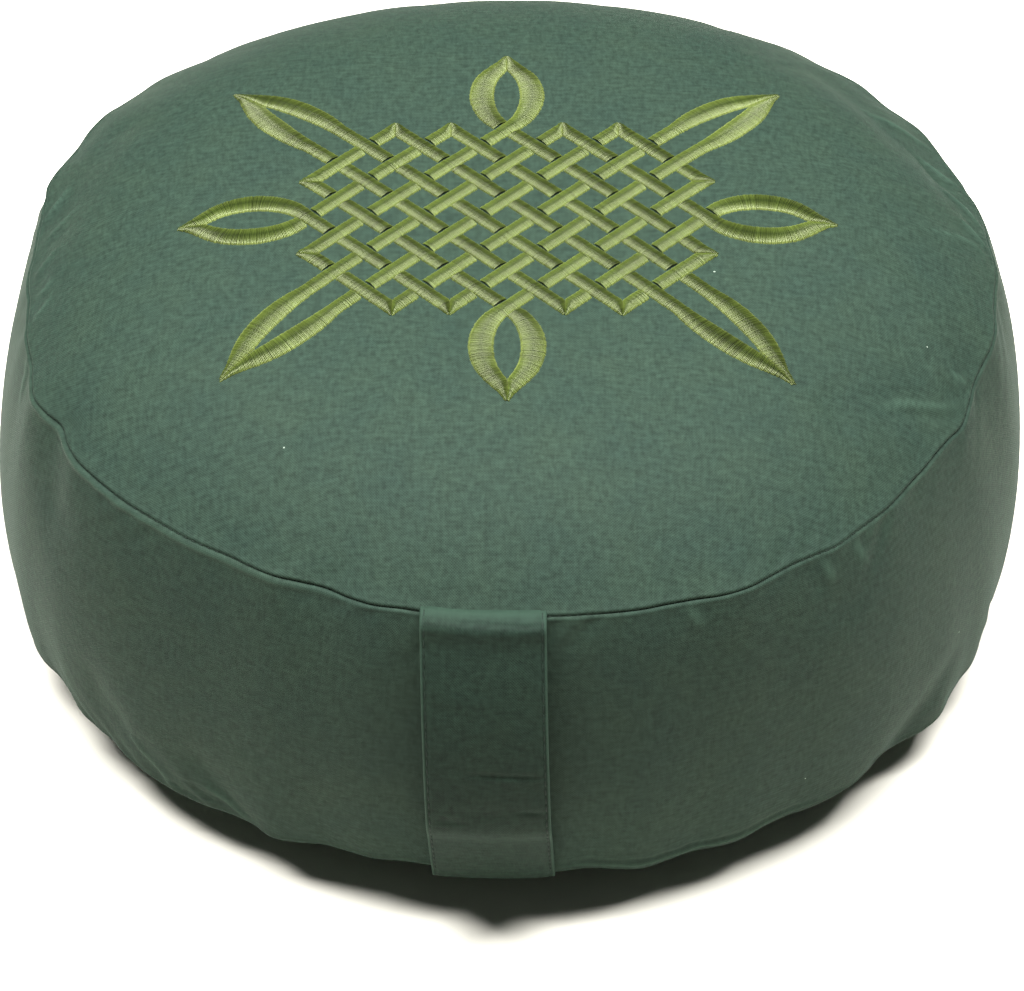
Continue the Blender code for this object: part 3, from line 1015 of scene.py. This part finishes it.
def seam_stitch_mesh():
    shape = bmesh.new()
    for seam in SEAM_PLACES:
        row = int(np.argmin(np.abs(places - seam)))
        ring = points[row]
        turn_length = np.linalg.norm(ring - np.roll(ring, 1, axis=0), axis=1).sum()
        count = round(turn_length / SEAM_PITCH)
        for index in range(count):
            columns = [(index + step) / count * COVER_COLUMNS for step in SEAM_STITCH]
            start, end = (on_ring(ring, column) for column in columns)
            up = Vector(normals[row, int(columns[1]) % COVER_COLUMNS])
            add_stitch(shape, start, end, up, SEAM_STITCH_THICK, SEAM_STITCH_RAISED)
    return finished_stitches("seam_stitches", shape)


seam_stitches = seam_stitch_mesh()
print("seam stitch faces", len(seam_stitches.data.polygons))

# %% [markdown]
# ## The embroidered knot
# An endless knot is one closed ribbon that crosses itself over and under. Its path could
# be a long list of points, but two numbers give it here, the width and the height of a
# field. The ribbon runs over it as a ball over a billiard table, diagonally from edge to
# edge. In the middle of each side it leaves the field, crosses itself and comes back
# round a petal. At each corner it makes one long leaf.

# %% The ribbon's path
STEP = 9.2 * MM                   # half the diagonal of one opening of the lattice
FIELD_X, FIELD_Y = 7, 5           # half width and half height of the field, in steps
KNOT_MIDDLE = Vector((0.0, -6.0 * MM))


def billiard_turns():
    """Where the ribbon meets the field's edges, and its heading after each."""
    at, heading = Vector((0, FIELD_Y)), Vector((1, -1))
    turns = []
    while (at, heading) not in turns:
        turns.append((at, heading))
        reaches = (FIELD_X - at.x * heading.x, FIELD_Y - at.y * heading.y)
        at = at + heading * min(reaches)
        heading = Vector([-part if reach == min(reaches) else part
                          for part, reach in zip(heading, reaches)])
    return turns


turns = billiard_turns()
print("turns at the edges", len(turns))

# %% [markdown]
# Between two turns the ribbon is one run. Most runs end in mitred corners. In the middle
# of a side or beside a corner of the field, a run goes on along half of a petal or leaf
# to its tip. Each end has a cutting line, the mitre or the axis of the petal or leaf,
# that its stitches do not cross.

# %% Runs of the ribbon
RIBBON_WIDTH = 5.4 * MM
PETAL_SIDE = ((0.0, 0.0), (0.50, 0.55), (0.88, 1.6), (0.78, 2.9), (0.0, 4.2))
LEAF_SIDE = ((-1.0, 0.0), (-0.50, 0.55), (0.25, 1.22), (1.25, 1.92), (2.45, 2.45))
TIP_ZONE = 13 * MM                # how far from a tip its cutting line works
MITRE_ZONE = 1.7 * RIBBON_WIDTH   # the same for a corner of the lattice
PETAL_SWELL = 0.55                # how much wider the ribbon is half way along a petal
TIP_TAPER = 0.12                  # and how much narrower at its tip


def kind_of_turn(at):
    """Whether the ribbon turns here at a mitre, a petal or a leaf."""
    if at.x == 0 or at.y == 0:
        return "petal"
    if abs(at.x) + abs(at.y) == FIELD_X + FIELD_Y - 1:
        return "leaf"
    return "mitre"


def edge_directions(at, heading):
    """The direction along the field's edge at a turn, and the direction out of the field."""
    if abs(at.y) == FIELD_Y:
        return Vector((heading.x, 0)), Vector((0, math.copysign(1, at.y)))
    return Vector((0, heading.y)), Vector((math.copysign(1, at.x), 0))


def half_loop(at, heading, leaving):
    """Half of a petal or leaf from a turn to its tip, and the cutting line at the tip."""
    if kind_of_turn(at) == "petal":
        along, out = edge_directions(at, heading)
        side = along if leaving else -along
        anchors = [at + side * reach + out * rise for reach, rise in PETAL_SIDE]
        return anchors, (at, side)
    signs = Vector((math.copysign(1, at.x), math.copysign(1, at.y)))
    corner = signs * Vector((FIELD_X, FIELD_Y))
    order = 1 if abs(at.y) == FIELD_Y else -1
    anchors = [corner + signs * Vector(spot[::order]) for spot in LEAF_SIDE]
    keep = Vector((-signs.x, signs.y)) * order
    return anchors, (corner, keep.normalized())


def smooth_plane_line(anchors, step):
    """Points a step apart along a smooth curve through anchors in the plane."""
    anchors = np.array([tuple(anchor) for anchor in anchors])
    fine = along_a_stretch(anchors, np.linspace(0.0, 1.0, 24 * len(anchors)))
    count = max(2, round(walked_along(fine)[-1] / step) + 1)
    return [Vector(place) for place in evenly(fine, count)[0]]


def on_cloth(place):
    """A place in lattice steps, as a place on the top panel in metres."""
    return KNOT_MIDDLE + place * STEP


def loop_stations(anchors, pitch):
    """Stations from a turn to a tip: where, how wide, and that they belong to a loop."""
    line = smooth_plane_line([on_cloth(anchor) for anchor in anchors], pitch)
    stations = []
    for index, place in enumerate(line):
        share = index / (len(line) - 1)
        swell = 1 + PETAL_SWELL * math.sin(math.pi * share) - TIP_TAPER * share
        stations.append((place, RIBBON_WIDTH * swell, "loop"))
    return stations


def make_run(start, heading, end, pitch):
    """Stations of one run, its cutting lines, and where it passes under another run."""
    cuts, loops = [], []
    for name, at, leaving in (("start", start, False), ("end", end, True)):
        if kind_of_turn(at) == "mitre":
            along, out = edge_directions(at, heading)
            cuts.append((name, on_cloth(at), -along if leaving else along, MITRE_ZONE))
            loops.append([])
        else:
            anchors, (point, keep) = half_loop(at, heading, leaving)
            cuts.append((name, on_cloth(point), keep, TIP_ZONE))
            loops.append(loop_stations(anchors, pitch)[1:])
    straight = smooth_plane_line([on_cloth(start), on_cloth(end)], pitch)
    middle = [(place, RIBBON_WIDTH, "lattice") for place in straight]
    rising = heading.x * heading.y > 0
    last = int(abs(end.x - start.x))
    unders = []
    for step in range(last + 1):
        place = start + heading * step
        over = (int(place.x) % 2 == 0) == rising
        if not over and (0 < step < last or kind_of_turn(place) == "petal"):
            unders.append(on_cloth(place))
    return loops[0][::-1] + middle + loops[1], cuts, unders


THREAD_PITCH = 0.42 * MM
runs = []
for (start, heading), (end, _) in zip(turns, turns[1:] + turns[:1]):
    between_leaves = kind_of_turn(start) == kind_of_turn(end) == "leaf"
    if not between_leaves or (end - start).length >= 2:
        runs.append(make_run(start, heading, end, THREAD_PITCH))
print("runs", len(runs), "stations", sum(len(run[0]) for run in runs))

# %% [markdown]
# Satin stitch lays one thread beside the next, straight across the ribbon. Each thread
# here is a real thin tube that rises out of the cloth at one edge, arches over and goes
# down at the other. So the light plays over the ribbons as it does on rayon: some runs
# shine and others stay dark, and a painted sheen makes runs one way lighter than runs the
# other way. A bump map on a flat ribbon would cost less, but its edges would be straight,
# where real ones are serrated.

# %% Threads of the satin stitch
THREAD_THICK = 0.25 * MM
THREAD_RISE = 0.80 * MM
MOST_RISE = 0.32                  # the same as a share of a short thread's length
THREAD_SLANT = 0.8 * THREAD_PITCH
SHORTEST_THREAD = 0.5 * MM
PAST_ENDS = 1.3 * RIBBON_WIDTH    # how far stitches go on into the corners of a run
UNDER_GAP = 0.35 * MM
WELL_ABOVE = 0.3                  # metres, a height that is clear of the cushion
DIRECTION_SHEEN = 0.9             # how much lighter ribbons are one way than the other, a painted sheen
MOST_SLIP = 0.06 * MM
MOST_OVERHANG = 0.25 * MM
ARCH = ((0.0, -0.35), (0.10, 0.45), (0.5, 1.0), (0.90, 0.45), (1.0, -0.35))
dice = random.Random(7)
cover_tree = BVHTree.FromPolygons(
    [vert.co for vert in cover.data.vertices],
    [tuple(face.vertices) for face in cover.data.polygons],
)


def on_cover(place):
    """The cover's top below a place, and the way out of it."""
    above = Vector((place.x, place.y, WELL_ABOVE))
    return cover_tree.ray_cast(above, Vector((0, 0, -1)))[:2]


def clipped(middle, side, low, high, cuts):
    """The part from low to high along side that no cutting line takes away."""
    for point, keep in cuts:
        height = (middle - point).dot(keep)
        slope = side.dot(keep)
        if abs(slope) < 1e-6:
            if height < 0:
                return None
            continue
        limit = -height / slope
        if slope > 0:
            low = max(low, limit)
        else:
            high = min(high, limit)
    return (low, high) if high - low > SHORTEST_THREAD else None


def extended(stations):
    """The stations with a few more past both ends, for the corners."""
    extra = int(PAST_ENDS / THREAD_PITCH)
    first = stations[0][0] - stations[1][0]
    last = stations[-1][0] - stations[-2][0]
    before = [(stations[0][0] + first * step, *stations[0][1:]) for step in range(extra, 0, -1)]
    after = [(stations[-1][0] + last * step, *stations[-1][1:]) for step in range(1, extra + 1)]
    return before + stations + after


def stitch_run(run, threads):
    """Adds the run's threads to the lattice's or to the loops'."""
    stations, cuts, unders = run
    laid = extended(stations)
    tips = {"start": stations[0][0], "end": stations[-1][0]}
    for index in range(1, len(laid) - 1):
        place, width, part = laid[index]
        ahead = (laid[index + 1][0] - laid[index - 1][0]).normalized()
        side = Vector((-ahead.y, ahead.x))
        # A random tone for each thread, plus a painted sheen that depends on the direction of its
        # run.
        shade = dice.uniform(-1, 1) + DIRECTION_SHEEN * 2 * ahead.x * ahead.y
        slip = dice.uniform(-MOST_SLIP, MOST_SLIP)
        low = -width / 2 - dice.uniform(0.0, MOST_OVERHANG)
        high = width / 2 + dice.uniform(0.0, MOST_OVERHANG)
        if any((place - under).length < RIBBON_WIDTH / 2 + UNDER_GAP for under in unders):
            continue
        near = [(point, keep) for end, point, keep, zone in cuts
                if (place - tips[end]).length < zone]
        span = clipped(place, side, low, high, near)
        if span is None:
            continue
        low, high = span
        rise = min(THREAD_RISE, MOST_RISE * (high - low))
        points = []
        for share, lift in ARCH:
            across = low + (high - low) * share
            slant = (share - 0.5) * THREAD_SLANT + slip
            hit, out = on_cover(place + side * across + ahead * slant)
            points.append(hit + out * lift * rise)
        threads[part].append((points, shade))


threads = {"lattice": [], "loop": []}
for run in runs:
    stitch_run(run, threads)
print("threads", {part: len(laid) for part, laid in threads.items()})

# %% Embroidery thread material
RAYON_TINTS = (
    # 0 at a thread's ends, 1 in its middle; the pale ends are a painted highlight where a thread
    # bends down into the cloth
    (0.0, (0.175, 0.210, 0.060)), (0.22, (0.042, 0.058, 0.010)), (1.0, (0.013, 0.021, 0.003)),
)
RAYON_SURFACE = {
    "Roughness": 0.38, "Specular IOR Level": 0.5, "Specular Tint": (0.93, 1.0, 0.62, 1.0),
}
# The least tone, how much of each thread's tone and painted sheen shows, and how much uneven dye.
LEAST_SHADE, SHADE_SHARE, DYE_SHARE = 0.7, 0.28, 0.6


def embroidery_thread():
    """Glossy twisted rayon, with a painted highlight where a thread bends down into the cloth and a
    painted sheen by the direction of its run.
    """
    material, tree, shader = new_material("embroidery_thread", RAYON_SURFACE)
    across = add(tree, "ShaderNodeAttribute", attribute_name="across")
    shade = add(tree, "ShaderNodeAttribute", attribute_name="shade")
    place = add(tree, "ShaderNodeTexCoord")
    dye = add(tree, "ShaderNodeTexNoise", {"Scale": 90.0, "Detail": 2.0})
    join(tree, place, "Object", dye, "Vector")
    uneven = calculate(tree, "MULTIPLY", (dye, "Fac"), DYE_SHARE)
    tone_and_sheen = calculate(tree, "MULTIPLY", (shade, "Fac"), SHADE_SHARE)
    tone_and_sheen = calculate(tree, "ADD", (tone_and_sheen, "Value"), LEAST_SHADE)
    tone_and_sheen = calculate(tree, "ADD", (tone_and_sheen, "Value"), (uneven, "Value"))
    grey = add(tree, "ShaderNodeCombineColor")
    for channel in ("Red", "Green", "Blue"):
        join(tree, tone_and_sheen, "Value", grey, channel)
    tint = ramp(tree, across, "Fac", RAYON_TINTS)
    coloured = mix(tree, "MULTIPLY", 1.0, (tint, "Color"), (grey, "Color"))
    join(tree, coloured, "Result", shader, "Base Color")
    return material


# %% Make the embroidery
TUBE_SIDES = 4                    # of a curve's round bevel at resolution 0


def threads_mesh(name, laid):
    """One mesh of all the threads of a part, each a thin closed tube."""
    curve = bpy.data.curves.new(name, "CURVE")
    curve.dimensions = "3D"
    curve.bevel_depth = THREAD_THICK
    curve.bevel_resolution = 0
    for points, shade in laid:
        spline = curve.splines.new("POLY")
        spline.points.add(len(points) - 1)
        for spot, point in zip(spline.points, points):
            spot.co = (*point, 1.0)
    lines = bpy.data.objects.new(name + "_lines", curve)
    SCENE.collection.objects.link(lines)
    scene_state = bpy.context.evaluated_depsgraph_get()
    mesh = bpy.data.meshes.new_from_object(lines.evaluated_get(scene_state))
    bpy.data.objects.remove(lines)
    bpy.data.curves.remove(curve)
    # across is what gives a thread's ends their painted highlight.
    across = [1 - abs(2 * share - 1) for share, lift in ARCH]
    across_values = np.tile(np.repeat(across, TUBE_SIDES), len(laid))
    shade_values = np.repeat([shade for points, shade in laid], TUBE_SIDES * len(ARCH))
    for label, values in (("across", across_values), ("shade", shade_values)):
        layer = mesh.attributes.new(label, "FLOAT", "POINT")
        layer.data.foreach_set("value", values.astype(np.float32))
    shape = bmesh.new()
    shape.from_mesh(mesh)
    bpy.data.meshes.remove(mesh)
    bmesh.ops.holes_fill(shape, edges=shape.edges, sides=TUBE_SIDES)
    bmesh.ops.recalc_face_normals(shape, faces=shape.faces)
    made = finished(name, shape)
    made.data.materials.append(rayon)
    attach(made, "root")
    return made


rayon = embroidery_thread()
for name, part in (("embroidery_lattice", "lattice"), ("embroidery_loops", "loop")):
    made = threads_mesh(name, threads[part])
    print(name, "faces", len(made.data.polygons))
